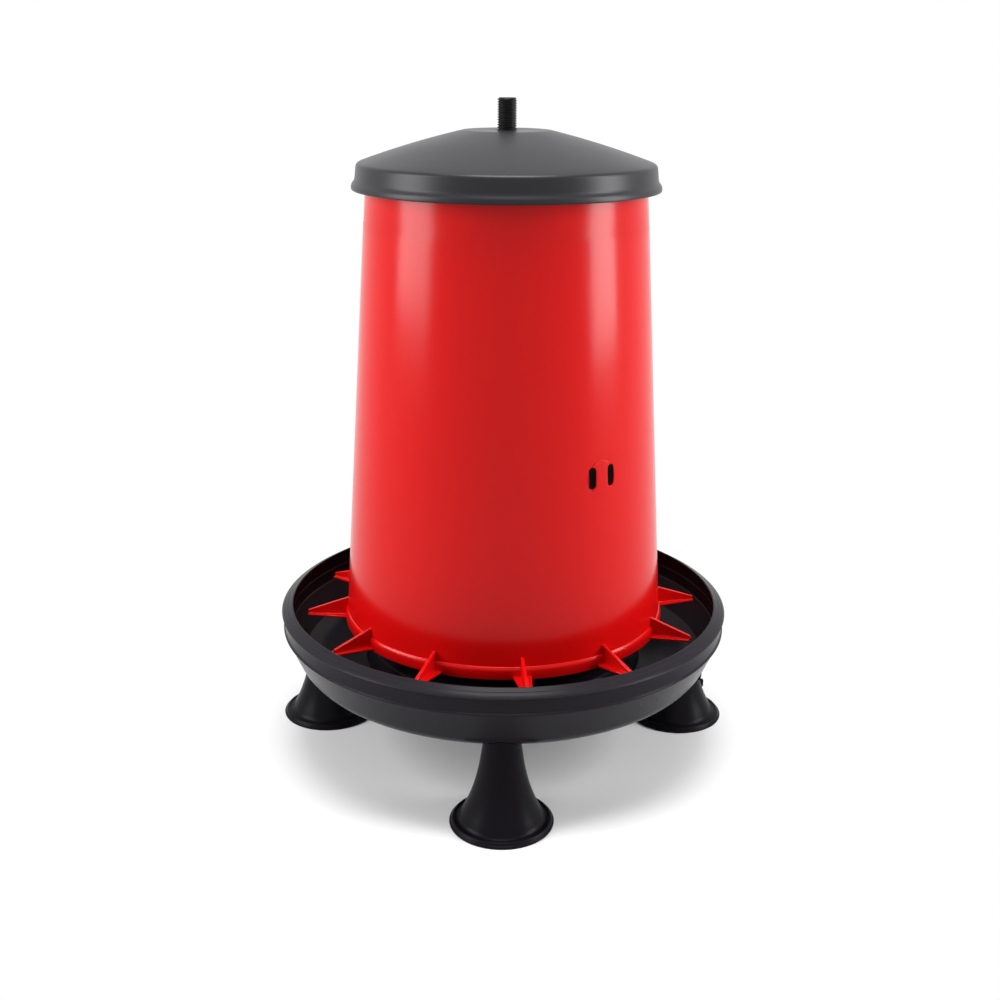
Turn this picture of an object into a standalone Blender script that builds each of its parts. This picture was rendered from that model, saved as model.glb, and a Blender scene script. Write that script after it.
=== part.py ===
"""Hopper feeder for poultry.

A red tapered hopper hangs on a threaded stem over a round black pan, and the pan stands on three
trumpet feet. A crossbar inside the hopper rests on a hand nut: turning the nut runs the hopper, its
crossbar and its lid up or down the stem, which sets how much feed flows into the pan.

Units are metres and +Z is up. The stem's axis is vertical. Azimuths are seen from above, with 0 along +X.
"""

import math

import bmesh
import bpy
from mathutils import Matrix

MM = 0.001

# Shared values
GAP = 0.3 * MM               # play between two pieces that touch or slide
FINE = 48                    # facets round the large turned pieces
COARSE = 24                  # facets round the small turned pieces
SLOT_FACETS = 8              # facets round each end of a slot
FILLET_STEPS = 2             # points in a small rounded corner of a profile
BIG_FILLET = 5.0 * MM        # from this radius on, a corner gets three times as many points
OVERLAP = 1.0 * MM           # how far a joined or cutting shape runs into or past its partner
BREAK = 0.5 * MM             # small rounding of a moulded edge

# Pan
PAN_R = 200.0 * MM           # outer edge of the rim
PAN_BOTTOM_Z = 72.0 * MM     # underside of the pan above the ground
PAN_WALL = 3.3 * MM
PAN_EDGE_H = 54.7 * MM       # rim's outer edge above the pan's underside
PAN_LIP_H = 2.2 * MM         # rim's outer edge above the top of the upright band
PAN_LIP_W = 2.7 * MM         # upright band inward from the rim's outer edge
PAN_BAND_H = 11.0 * MM
PAN_BEAD = 0.8 * MM          # how far the bead under the band stands proud
PAN_BEAD_H = 2.6 * MM
PAN_BEAD_BREAK = 0.35 * MM   # bevel at the top and foot of the bead
PAN_WALL_SET = 0.3 * MM      # lower wall stands back from the band
PAN_WALL_LEAN = 0.438        # radius lost for each unit of height in the lower wall
PAN_CORNER_R = 25.6 * MM     # rounded corner between the lower wall and the underside
PAN_CREST_RISE = 6.3 * MM    # rim's inner crest above its outer edge
PAN_CREST_INSET = 10.5 * MM  # crest inward from the outer edge
PAN_CREST_H = 2.6 * MM       # upright inner face of the crest
PAN_CREST_FOOT = 0.8 * MM    # foot of the rim's slope above its outer edge
INNER_RIB_DROP = 9.7 * MM    # upper step inside the wall, below the rim's outer edge
INNER_RIB_W = 0.5 * MM
INNER_LEDGE_DROP = 19.7 * MM  # lower step inside the wall
INNER_LEDGE_W = 1.6 * MM
INNER_STEP_H = 0.9 * MM      # height over which each step runs out
CREASE_INSET = 19.0 * MM     # crease between the inner wall and the trough's floor, inward from the rim
CREASE_RISE = 11.0 * MM      # height of that crease above the underside
FLOOR_INSET = 37.5 * MM      # outer edge of the flat floor, inward from the rim
FLOOR_FILLET = 8.0 * MM
CONE_SHOULDER_H = 20.0 * MM  # shoulder of the centre cone above the pan's underside
CONE_STEP_LEAN = 3.0 * MM    # how far the step leans out towards the trough's floor
CONE_FILLET = 3.0 * MM
HUB_R = 24.0 * MM            # flat top of the centre cone
HUB_H = 46.0 * MM            # hub's top above the pan's underside

# Feet
FOOT_INSET = 33.0 * MM       # feet's axes inward from the pan's rim
FOOT_SPREAD = 99.0           # degrees between the front foot and each of the other two
FOOT_NECK_R = 15.8 * MM
FOOT_TAPER = 8.0 * MM        # radius gained evenly from the neck down to the bell's foot
FOOT_FLARE = 9.1 * MM        # radius gained more and more steeply over the same height
FOOT_FLARE_POWER = 2.75
FOOT_BELL_H = 10.0 * MM      # where the bell meets the flange
FOOT_FLANGE_W = 10.4 * MM    # flange's edge outward from the bell's foot
FOOT_BEAD_H = 8.0 * MM
FOOT_BEAD_W = 2.4 * MM
FOOT_DISH_H = 6.7 * MM
FOOT_DISH_W = 1.6 * MM       # dish's inner edge outward from the bell's foot
FOOT_EDGE_LEAN = 0.6 * MM    # flange's edge leans in from its foot to its bead
FOOT_EDGE_H = 0.8 * MM
FOOT_WALL = 2.5 * MM
FOOT_STEPS = 8               # points down the trumpet's side
FOOT_TOP_SPARE = 14.0 * MM   # extra height that the pan's underside then trims away
FOOT_TURNS = {"foot_front": 95.0, "foot_right": 0.0, "foot_left": 75.0}    # way that each foot's catch faces
CATCH_Z = 43.0 * MM          # middle of the catch on each foot's neck
CATCH_SIZE = (3.2 * MM, 11.0 * MM, 9.0 * MM)    # proud of the neck, width and height
CATCH_AZIMUTH = -14.0
HOOK_Z = 29.0 * MM           # small hook below the catch
HOOK_SIZE = (2.6 * MM, 4.0 * MM, 8.0 * MM)
HOOK_AZIMUTH = 10.0
CATCH_ROUND = 1.1 * MM
STUD_R = 1.6 * MM            # round stud on the other side of the catch
STUD_Z = 33.0 * MM
STUD_PROUD = 1.0 * MM
STUD_AZIMUTH = -85.0
STUD_FACETS = 10
PEG_R = 7.0 * MM             # peg under the pan that each foot is pushed onto
PEG_WALL = 2.5 * MM
PEG_L = 24.0 * MM

# Stem
STEM_R = 8.0 * MM
STEM_PROUD = 25.6 * MM       # stem's top above the lid
STEM_FLAT_DEPTH = 1.2 * MM
STEM_FLAT_AZIMUTH = -25.0
STEM_CHAMFER = 1.0 * MM
STEM_HEAD_R = 17.0 * MM
STEM_HEAD_H = 4.0 * MM

# Nut that clamps the stem to the pan
PAN_NUT_R = 15.0 * MM
PAN_NUT_H = 10.0 * MM
NUT_BEVEL = 0.8 * MM

# Hopper
TROUGH_W = 58.4 * MM         # hopper's lower edge inward from the pan's rim
FEED_GAP = 40.0 * MM         # hopper's lower edge above the trough's floor
CONE_GAP = 18.3 * MM         # hopper's inside to the shoulder of the pan's cone
HOPPER_H = 400.0 * MM
HOPPER_TAPER = 0.0641        # radius lost for each unit of height
HOPPER_WALL = 2.3 * MM
HOPPER_RIM_W = 4.0 * MM      # how far the rim under the lid stands out from the wall
HOPPER_RIM_H = 4.5 * MM
HOPPER_RIM_SLOPE = 2.0 * MM  # fall of the rim's top from the lid's seat to its outer edge
LEDGE_W = 1.3 * MM           # band round the lower edge stands out this far
LEDGE_H = 11.1 * MM
TOOTH_COUNT = 12
TOOTH_AZIMUTH = -83.5        # first tooth
TOOTH_TIP_INSET = 23.5 * MM  # teeth's tips inward from the pan's rim
TOOTH_RIDGE_H = 18.7 * MM    # ridge above the hopper's lower edge, at the wall
TOOTH_TIP_H = 8.2 * MM       # ridge above the hopper's lower edge, at the tip
TOOTH_TIP_DEPTH = 4.0 * MM
TOOTH_ROOT_W = 18.0 * MM
TOOTH_TIP_W = 4.0 * MM
TOOTH_WALL = 2.4 * MM
TOOTH_CREST_W = 1.2 * MM
TOOTH_FOOT = 0.2 * MM        # underside of a tooth's root above the hopper's lower edge
TOOTH_THIN = 0.3 * MM        # least hollow under a tooth
SLOT_AZIMUTH = -53.3         # middle of the front pair; the other pair is opposite
SLOT_APART = 8.3             # degrees between the two slots of a pair
SLOT_RISE = 162.7 * MM       # middle of the slots above the hopper's lower edge
SLOT_W = 7.3 * MM
SLOT_H = 18.5 * MM

# Crossbar
BAR_RIB_W = 3.0 * MM
BAR_PLATE_H = 3.0 * MM
BAR_RIB_H = 14.0 * MM
BAR_TONGUE_L = 10.0 * MM     # thickened end of each rib
BAR_TONGUE_INSET = 0.8 * MM  # tongue's tip below the hopper's outside
BAR_STEP = 0.5 * MM          # plate and ribs stand back this far from the tongues' outline
BAR_HUB_R = 15.0 * MM
BAR_HUB_H = 20.0 * MM

# Adjusting nut
NUT_R = 20.0 * MM
NUT_H = 9.0 * MM
NUT_BOSS_R = 12.0 * MM
NUT_BOSS_H = 3.0 * MM
NUT_SCALLOPS = 8
NUT_SCALLOP_R = 5.0 * MM
NUT_SCALLOP_SET = 2.75 * MM  # scallops' centres outward from the nut's edge
NUT_FACETS = 48
SCALLOP_FACETS = 16

# Lid
LID_WALL = 2.4 * MM
LID_PLAY = 1.55 * MM         # lid's inside to the hopper's rim
LID_SEAT_INSET = 2.75 * MM   # line where the lid rests, inward from the rim's outer edge
LID_TOP_R = 36.4 * MM
LID_CONE_H = 25.2 * MM       # fall of the cone from the top disc to the shoulder
LID_CROWN = 1.3 * MM         # bulge of the cone between its two edges
LID_CONE_STEPS = 4
LID_SHOULDER_W = 3.7 * MM    # rounded shoulder between the cone and the skirt
LID_SHOULDER_H = 1.6 * MM
LID_SKIRT_H = 14.4 * MM      # shoulder down to the lip
LID_SKIRT_SPREAD = 1.4 * MM
LID_LIP_W = 3.0 * MM
LID_LIP_SLOPE = 4.0 * MM
LID_LIP_H = 3.6 * MM
LID_LIP_TURN = 0.6 * MM      # lip's inner corners below its outer ones
LID_FILLET = 2.5 * MM
LID_HOLE_R = 9.0 * MM

# Derived places
FOOT_CIRCLE_R = PAN_R - FOOT_INSET
FOOT_AZIMUTHS = {"foot_front": -90.0, "foot_right": -90.0 + FOOT_SPREAD, "foot_left": -90.0 - FOOT_SPREAD}
FOOT_FLANGE_R = FOOT_NECK_R + FOOT_TAPER + FOOT_FLARE + FOOT_FLANGE_W
NECK_Z = PAN_BOTTOM_Z - GAP
AXIS_Y = (FOOT_CIRCLE_R + FOOT_FLANGE_R - PAN_R) / 2    # puts the origin in the middle of the outline
HUB_TOP_Z = PAN_BOTTOM_Z + HUB_H
STEM_BORE_R = STEM_R + GAP
HOPPER_FOOT_R = PAN_R - TROUGH_W
HOPPER_FOOT_Z = PAN_BOTTOM_Z + PAN_WALL + FEED_GAP
HOPPER_TOP_Z = HOPPER_FOOT_Z + HOPPER_H
CONE_R = HOPPER_FOOT_R - HOPPER_WALL - CONE_GAP
SLOT_Z = HOPPER_FOOT_Z + SLOT_RISE


def hopper_r(z):
    """Outside radius of the hopper at a height."""
    return HOPPER_FOOT_R - (z - HOPPER_FOOT_Z) * HOPPER_TAPER


RIM_R = hopper_r(HOPPER_TOP_Z - HOPPER_RIM_H) + HOPPER_RIM_W
LID_SKIRT_R = RIM_R + LID_PLAY + LID_WALL
LID_SHOULDER_R = LID_SKIRT_R - LID_SHOULDER_W
LID_SLOPE = LID_CONE_H / (LID_SHOULDER_R - LID_TOP_R)
LID_LEAN = math.hypot(1.0, LID_SLOPE)
LID_SEAT_R = RIM_R - LID_SEAT_INSET
LID_TOP_Z = HOPPER_TOP_Z + GAP + LID_WALL * LID_LEAN + (LID_SEAT_R - LID_TOP_R) * LID_SLOPE
STEM_TOP_Z = LID_TOP_Z + STEM_PROUD


# Tools
def remove_all():
    for thing in list(bpy.data.objects):
        bpy.data.objects.remove(thing, do_unlink=True)


def polar(radius, azimuth):
    angle = math.radians(azimuth)
    return radius * math.cos(angle), radius * math.sin(angle)


def upright(azimuth):
    return Matrix.Rotation(math.radians(azimuth), 3, "Z")


def material(name, colour, roughness, metallic=0.0):
    made = bpy.data.materials.new(name)
    made.use_nodes = True
    shader = made.node_tree.nodes["Principled BSDF"]
    shader.inputs["Base Color"].default_value = (*colour, 1.0)
    shader.inputs["Roughness"].default_value = roughness
    shader.inputs["Metallic"].default_value = metallic
    return made


def linked(name, mesh, parent=None):
    made = bpy.data.objects.new(name, mesh)
    bpy.context.scene.collection.objects.link(made)
    made.parent = parent
    return made


def empty(name, parent=None, location=(0.0, 0.0, 0.0)):
    made = linked(name, None, parent)
    made.location = location
    return made


def from_bmesh(name, bm, parent=None):
    bmesh.ops.recalc_face_normals(bm, faces=bm.faces)
    mesh = bpy.data.meshes.new(name)
    bm.to_mesh(mesh)
    bm.free()
    return linked(name, mesh, parent)


def smooth(thing, degrees=35.0):
    thing.data.shade_smooth()
    thing.data.set_sharp_from_angle(angle=math.radians(degrees))


def rounded(corners):
    """Points of a profile whose corners are (radius, height, fillet) with the fillets drawn as arcs."""
    points = []
    count = len(corners)
    for index, (x, z, fillet) in enumerate(corners):
        if fillet <= 0.0:
            points.append((x, z))
            continue
        before, after = corners[index - 1], corners[(index + 1) % count]
        ax, az = before[0] - x, before[1] - z
        bx, bz = after[0] - x, after[1] - z
        la, lb = math.hypot(ax, az), math.hypot(bx, bz)
        ax, az, bx, bz = ax / la, az / la, bx / lb, bz / lb
        half = math.acos(max(-1.0, min(1.0, ax * bx + az * bz))) / 2
        reach = min(fillet / math.tan(half), 0.48 * la, 0.48 * lb)
        radius = reach * math.tan(half)
        mx, mz = ax + bx, az + bz
        ml = math.hypot(mx, mz)
        far = radius / math.sin(half)
        cx, cz = x + mx / ml * far, z + mz / ml * far
        start = math.atan2(z + az * reach - cz, x + ax * reach - cx)
        end = math.atan2(z + bz * reach - cz, x + bx * reach - cx)
        sweep = (end - start + math.pi) % (2 * math.pi) - math.pi
        steps = FILLET_STEPS * 3 if fillet >= BIG_FILLET else FILLET_STEPS
        for step in range(steps + 1):
            angle = start + sweep * step / steps
            points.append((cx + radius * math.cos(angle), cz + radius * math.sin(angle)))
    return points


def bowed(start, end, bulge, steps):
    """Points from start to end on a shallow curve that stands proud of the straight line by bulge."""
    (x0, z0), (x1, z1) = start, end
    length = math.hypot(x1 - x0, z1 - z0)
    nx, nz = -(z1 - z0) / length, (x1 - x0) / length
    points = []
    for step in range(steps + 1):
        t = step / steps
        lift = 4.0 * bulge * t * (1.0 - t)
        points.append((x0 + (x1 - x0) * t + nx * lift, z0 + (z1 - z0) * t + nz * lift))
    return points


def turned(name, profile, segments, parent=None):
    """A piece turned from a closed profile of (radius, height) points that runs down its outer side."""
    bm = bmesh.new()
    verts = [bm.verts.new((x, 0.0, z)) for x, z in profile]
    for index, vert in enumerate(verts):
        bm.edges.new((vert, verts[(index + 1) % len(verts)]))
    mesh = bpy.data.meshes.new(name)
    bm.to_mesh(mesh)
    bm.free()
    made = linked(name, mesh, parent)
    screw = made.modifiers.new("turn", "SCREW")
    screw.axis = "Z"
    screw.angle = 2 * math.pi
    screw.steps = segments
    screw.render_steps = segments
    screw.use_merge_vertices = True
    screw.merge_threshold = 0.00001
    screw.use_smooth_shade = False
    return made


def applied(thing):
    """Swap an object's mesh for the one that its modifiers give."""
    graph = bpy.context.evaluated_depsgraph_get()
    mesh = bpy.data.meshes.new_from_object(thing.evaluated_get(graph))
    thing.modifiers.clear()
    thing.data = mesh
    bm = bmesh.new()
    bm.from_mesh(mesh)
    bmesh.ops.recalc_face_normals(bm, faces=bm.faces)
    bm.to_mesh(mesh)
    bm.free()
    return thing


def combine(thing, tools, operation):
    """Join tools to a piece, or cut them out of it, and take them away."""
    for tool in tools:
        tool.hide_render = True
        tool.display_type = "WIRE"
        step = thing.modifiers.new(operation.lower(), "BOOLEAN")
        step.object = tool
        step.operation = operation
        step.solver = "EXACT"
    bpy.context.view_layer.update()
    applied(thing)
    for tool in tools:
        bpy.data.objects.remove(tool, do_unlink=True)
    return thing


def rod(name, radius, low, high, segments, parent=None, place=(0.0, 0.0)):
    """An upright round rod between two heights."""
    bm = bmesh.new()
    bmesh.ops.create_cone(bm, cap_ends=True, segments=segments, radius1=radius, radius2=radius, depth=high - low)
    bmesh.ops.translate(bm, verts=bm.verts, vec=(place[0], place[1], (high + low) / 2))
    return from_bmesh(name, bm, parent)


def block(bm, size, centre, azimuth=0.0):
    """A box in a bmesh, turned about the upright axis after it is placed."""
    made = bmesh.ops.create_cube(bm, size=1.0)["verts"]
    bmesh.ops.scale(bm, verts=made, vec=size)
    bmesh.ops.translate(bm, verts=made, vec=centre)
    bmesh.ops.rotate(bm, verts=made, cent=(0, 0, 0), matrix=upright(azimuth))
    return made


def obround(bm, width, height, start, end, azimuth, z):
    """An upright rounded slot shape that runs outward from the radius start to the radius end."""
    half, straight = width / 2, height / 2 - width / 2
    points = []
    for rise, first in ((straight, 0.0), (-straight, math.pi)):
        for step in range(SLOT_FACETS + 1):
            angle = first + math.pi * step / SLOT_FACETS
            points.append((half * math.cos(angle), rise + half * math.sin(angle)))
    near = [bm.verts.new((start, y, z + up)) for y, up in points]
    far = [bm.verts.new((end, y, z + up)) for y, up in points]
    bm.faces.new(near)
    bm.faces.new(far)
    for index in range(len(points)):
        after = (index + 1) % len(points)
        bm.faces.new((near[index], near[after], far[after], far[index]))
    bmesh.ops.rotate(bm, verts=near + far, cent=(0, 0, 0), matrix=upright(azimuth))


# Pan
def pan_outside(clear):
    """Corners of the pan's outer side from the rim's edge down to the hub, set out by a clearance."""
    edge_z = PAN_BOTTOM_Z + PAN_EDGE_H
    band_r = PAN_R - PAN_LIP_W + clear
    band_top = edge_z - PAN_LIP_H
    band_foot = band_top - PAN_BAND_H
    bead_foot = band_foot - PAN_BEAD_H
    wall_top_r = band_r - PAN_WALL_SET
    corner_r = wall_top_r - (bead_foot - PAN_BOTTOM_Z) * PAN_WALL_LEAN
    return [
        (PAN_R + clear, edge_z, BREAK),
        (band_r, band_top, 0.0),
        (band_r, band_foot, 0.0),
        (band_r + PAN_BEAD, band_foot - PAN_BEAD_BREAK, 0.0),
        (band_r + PAN_BEAD, bead_foot + PAN_BEAD_BREAK, 0.0),
        (wall_top_r, bead_foot, 0.0),
        (corner_r, PAN_BOTTOM_Z - clear, PAN_CORNER_R + clear),
    ]


def make_pan(parent, shade):
    edge_z = PAN_BOTTOM_Z + PAN_EDGE_H
    floor_z = PAN_BOTTOM_Z + PAN_WALL
    shoulder_z = PAN_BOTTOM_Z + CONE_SHOULDER_H
    crest_r = PAN_R - PAN_CREST_INSET
    crest_z = edge_z + PAN_CREST_RISE
    wall_r = PAN_R - PAN_LIP_W - PAN_WALL
    rib_r = wall_r - INNER_RIB_W
    ledge_r = wall_r - INNER_LEDGE_W
    corners = pan_outside(0.0) + [
        (CONE_R + CONE_STEP_LEAN - PAN_WALL, PAN_BOTTOM_Z, 0.0),
        (CONE_R - PAN_WALL, shoulder_z - PAN_WALL, 0.0),
        (HUB_R, HUB_TOP_Z - PAN_WALL, 0.0),
        (STEM_BORE_R, HUB_TOP_Z - PAN_WALL, 0.0),
        (STEM_BORE_R, HUB_TOP_Z, 0.0),
        (HUB_R, HUB_TOP_Z, 0.0),
        (CONE_R, shoulder_z, CONE_FILLET),
        (CONE_R + CONE_STEP_LEAN, floor_z, 0.0),
        (PAN_R - FLOOR_INSET, floor_z, FLOOR_FILLET),
        (PAN_R - CREASE_INSET, PAN_BOTTOM_Z + CREASE_RISE, 0.0),
        (ledge_r - INNER_STEP_H, edge_z - INNER_LEDGE_DROP - INNER_STEP_H, 0.0),
        (ledge_r, edge_z - INNER_LEDGE_DROP, 0.0),
        (rib_r, edge_z - INNER_RIB_DROP - INNER_STEP_H, 0.0),
        (wall_r, edge_z - INNER_RIB_DROP, 0.0),
        (wall_r, edge_z + PAN_CREST_FOOT, 0.0),
        (crest_r, crest_z - PAN_CREST_H, 0.0),
        (crest_r, crest_z, BREAK),
    ]
    pan = turned("pan", rounded(corners), FINE, parent)
    applied(pan)
    pegs = []
    for azimuth in FOOT_AZIMUTHS.values():
        place = polar(FOOT_CIRCLE_R, azimuth)
        peg = rod("peg", PEG_R, PAN_BOTTOM_Z - PEG_L, floor_z - BREAK, COARSE, parent, place)
        bore = rod("peg_bore", PEG_R - PEG_WALL, PAN_BOTTOM_Z - PEG_L - OVERLAP, PAN_BOTTOM_Z - OVERLAP,
                   COARSE, parent, place)
        pegs.append(combine(peg, [bore], "DIFFERENCE"))
    combine(pan, pegs, "UNION")
    smooth(pan)
    pan.data.materials.append(shade)
    return pan


# Feet
def bell_r(z):
    """Outside radius of a foot's trumpet at a height."""
    share = min(1.0, max(0.0, (NECK_Z - z) / (NECK_Z - FOOT_BELL_H)))
    return FOOT_NECK_R + FOOT_TAPER * share + FOOT_FLARE * share ** FOOT_FLARE_POWER


def foot_profile():
    """Profile of a whole foot, whose neck is still too long."""
    top_z = NECK_Z + FOOT_TOP_SPARE
    bore_r = PEG_R + GAP
    web_z = PAN_BOTTOM_Z - PEG_L - GAP - FOOT_WALL
    bell_foot = FOOT_FLANGE_R - FOOT_FLANGE_W
    bead_r = FOOT_FLANGE_R - FOOT_EDGE_LEAN
    outer = [(FOOT_NECK_R, top_z, 0.0)]
    heights = [NECK_Z + (FOOT_BELL_H - NECK_Z) * step / FOOT_STEPS for step in range(FOOT_STEPS + 1)]
    for z in heights:
        outer.append((bell_r(z), z, 0.0))
    outer += [
        (bell_foot + FOOT_DISH_W, FOOT_DISH_H, 0.0),
        (bead_r - 2 * FOOT_BEAD_W, FOOT_DISH_H, 0.0),
        (bead_r - FOOT_BEAD_W, FOOT_BEAD_H, BREAK),
        (bead_r, FOOT_BEAD_H - FOOT_BEAD_W / 2, FOOT_BEAD_W / 2),
        (FOOT_FLANGE_R, FOOT_EDGE_H, 0.0),
        (FOOT_FLANGE_R - BREAK, 0.0, 0.0),
    ]
    inner = [(FOOT_FLANGE_R - FOOT_WALL, 0.0, 0.0), (FOOT_FLANGE_R - FOOT_WALL, FOOT_DISH_H - FOOT_WALL, 0.0),
             (bell_foot - FOOT_WALL / 2, FOOT_DISH_H - FOOT_WALL, 0.0)]
    hollow = [z for z in reversed(heights) if FOOT_BELL_H < z < web_z]
    inner += [(bell_r(z) - FOOT_WALL, z - FOOT_WALL / 2, 0.0) for z in hollow]
    inner += [(inner[-1][0], web_z, 0.0), (bore_r, web_z, 0.0), (bore_r, top_z, 0.0)]
    return rounded(outer + inner)


def catch_block(parent, size, azimuth, z):
    """A rounded block that stands proud of a foot's neck."""
    proud, width, height = size
    root = bell_r(z + height / 2) - FOOT_WALL / 2
    tip = bell_r(z) + proud
    bm = bmesh.new()
    block(bm, (tip - root, width, height), ((tip + root) / 2, 0, z))
    bmesh.ops.bevel(bm, geom=list(bm.edges), offset=CATCH_ROUND, segments=2, profile=0.5, affect="EDGES")
    bmesh.ops.rotate(bm, verts=bm.verts, cent=(0, 0, 0), matrix=upright(azimuth))
    return from_bmesh("catch", bm, parent)


def stud(parent):
    """A small round stud on a foot's neck."""
    length = FOOT_WALL + STUD_PROUD
    bm = bmesh.new()
    bmesh.ops.create_cone(bm, cap_ends=True, segments=STUD_FACETS, radius1=STUD_R, radius2=STUD_R, depth=length)
    bmesh.ops.rotate(bm, verts=bm.verts, cent=(0, 0, 0), matrix=Matrix.Rotation(math.pi / 2, 3, "Y"))
    bmesh.ops.translate(bm, verts=bm.verts, vec=(bell_r(STUD_Z) + STUD_PROUD - length / 2, 0, STUD_Z))
    bmesh.ops.rotate(bm, verts=bm.verts, cent=(0, 0, 0), matrix=upright(STUD_AZIMUTH))
    return from_bmesh("stud", bm, parent)


def make_feet(parent, shade):
    pan_form = rounded([(PEG_R, PAN_BOTTOM_Z + PAN_EDGE_H, 0.0)] + pan_outside(GAP)
                       + [(PEG_R, PAN_BOTTOM_Z - GAP, 0.0)])
    feet = []
    for name, azimuth in FOOT_AZIMUTHS.items():
        foot = turned(name, foot_profile(), COARSE, parent)
        applied(foot)
        details = [catch_block(parent, CATCH_SIZE, CATCH_AZIMUTH, CATCH_Z),
                   catch_block(parent, HOOK_SIZE, HOOK_AZIMUTH, HOOK_Z),
                   stud(parent)]
        combine(foot, details, "UNION")
        foot.location = (*polar(FOOT_CIRCLE_R, azimuth), 0.0)
        foot.rotation_euler.z = math.radians(FOOT_TURNS[name])
        cutter = turned("pan_form", pan_form, FINE, parent)
        applied(cutter)
        combine(foot, [cutter], "DIFFERENCE")
        smooth(foot)
        foot.data.materials.append(shade)
        feet.append(foot)
    return feet


# Stem and the nut that clamps it
def make_stem(parent, shade):
    head_z = HUB_TOP_Z - PAN_WALL - GAP
    foot_z = head_z - STEM_HEAD_H
    stem = turned("stem", rounded([
        (0.0, STEM_TOP_Z, 0.0),
        (STEM_R - STEM_CHAMFER, STEM_TOP_Z, 0.0),
        (STEM_R, STEM_TOP_Z - STEM_CHAMFER, 0.0),
        (STEM_R, head_z, 0.0),
        (STEM_HEAD_R, head_z, 0.0),
        (STEM_HEAD_R, foot_z, BREAK),
        (0.0, foot_z, 0.0),
    ]), COARSE, parent)
    applied(stem)
    bm = bmesh.new()
    length = STEM_TOP_Z - head_z - GAP + OVERLAP
    block(bm, (STEM_R, 3 * STEM_R, length),
          (STEM_R - STEM_FLAT_DEPTH + STEM_R / 2, 0, STEM_TOP_Z + OVERLAP - length / 2), STEM_FLAT_AZIMUTH)
    combine(stem, [from_bmesh("flat_cutter", bm, parent)], "DIFFERENCE")
    smooth(stem, 20.0)
    stem.data.materials.append(shade)
    return stem


def make_pan_nut(parent, shade):
    low = HUB_TOP_Z + GAP
    nut = rod("pan_nut", PAN_NUT_R, low, low + PAN_NUT_H, 6, parent)
    bm = bmesh.new()
    bm.from_mesh(nut.data)
    bmesh.ops.bevel(bm, geom=list(bm.edges), offset=NUT_BEVEL, segments=1, profile=0.5, affect="EDGES")
    bm.to_mesh(nut.data)
    bm.free()
    bore = rod("nut_bore", STEM_BORE_R, low - OVERLAP, low + PAN_NUT_H + OVERLAP, COARSE, parent)
    combine(nut, [bore], "DIFFERENCE")
    smooth(nut, 20.0)
    nut.data.materials.append(shade)
    return nut


# Hopper
def tooth(bm, azimuth):
    """One roof-shaped tooth: a folded wall that runs from inside the hopper's wall out to its tip."""
    sections = []
    for radius, foot, ridge, width in (
            (HOPPER_FOOT_R - HOPPER_WALL / 2, TOOTH_FOOT, TOOTH_RIDGE_H, TOOTH_ROOT_W),
            (PAN_R - TOOTH_TIP_INSET, TOOTH_TIP_H - TOOTH_TIP_DEPTH, TOOTH_TIP_H, TOOTH_TIP_W)):
        half, crest = width / 2, TOOTH_CREST_W / 2
        inner = max(half - TOOTH_WALL, TOOTH_THIN)
        drop = max(ridge - foot - TOOTH_WALL * 1.6, TOOTH_THIN)
        sections.append([bm.verts.new((radius, y, HOPPER_FOOT_Z + z)) for y, z in (
            (-half, foot), (-crest, ridge), (crest, ridge), (half, foot),
            (inner, foot), (0.0, foot + drop), (-inner, foot))])
    near, far = sections
    bm.faces.new(near)
    bm.faces.new(far)
    for index in range(len(near)):
        after = (index + 1) % len(near)
        bm.faces.new((near[index], near[after], far[after], far[index]))
    bmesh.ops.rotate(bm, verts=near + far, cent=(0, 0, 0), matrix=upright(azimuth))


def make_hopper(parent, shade):
    ledge_z = HOPPER_FOOT_Z + LEDGE_H
    ledge_r = HOPPER_FOOT_R + LEDGE_W
    rim_foot = HOPPER_TOP_Z - HOPPER_RIM_H
    hopper = turned("hopper", rounded([
        (LID_SEAT_R, HOPPER_TOP_Z, 0.0),
        (RIM_R, HOPPER_TOP_Z - HOPPER_RIM_SLOPE, BREAK),
        (RIM_R, rim_foot, 0.0),
        (hopper_r(rim_foot), rim_foot, 0.0),
        (hopper_r(ledge_z), ledge_z, 0.0),
        (ledge_r, ledge_z, BREAK),
        (ledge_r, HOPPER_FOOT_Z, BREAK),
        (HOPPER_FOOT_R - HOPPER_WALL, HOPPER_FOOT_Z, 0.0),
        (hopper_r(HOPPER_TOP_Z) - HOPPER_WALL, HOPPER_TOP_Z, 0.0),
    ]), FINE, parent)
    applied(hopper)
    bm = bmesh.new()
    for number in range(TOOTH_COUNT):
        tooth(bm, TOOTH_AZIMUTH + 360.0 * number / TOOTH_COUNT)
    combine(hopper, [from_bmesh("teeth", bm, parent)], "UNION")
    bm = bmesh.new()
    for pair in (0.0, 180.0):
        for side in (-0.5, 0.5):
            obround(bm, SLOT_W, SLOT_H, hopper_r(SLOT_Z) - 4 * HOPPER_WALL, hopper_r(SLOT_Z) + 3 * HOPPER_WALL,
                    SLOT_AZIMUTH + pair + side * SLOT_APART, SLOT_Z)
    combine(hopper, [from_bmesh("slots", bm, parent)], "DIFFERENCE")
    smooth(hopper)
    hopper.data.materials.append(shade)
    return hopper


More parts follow.
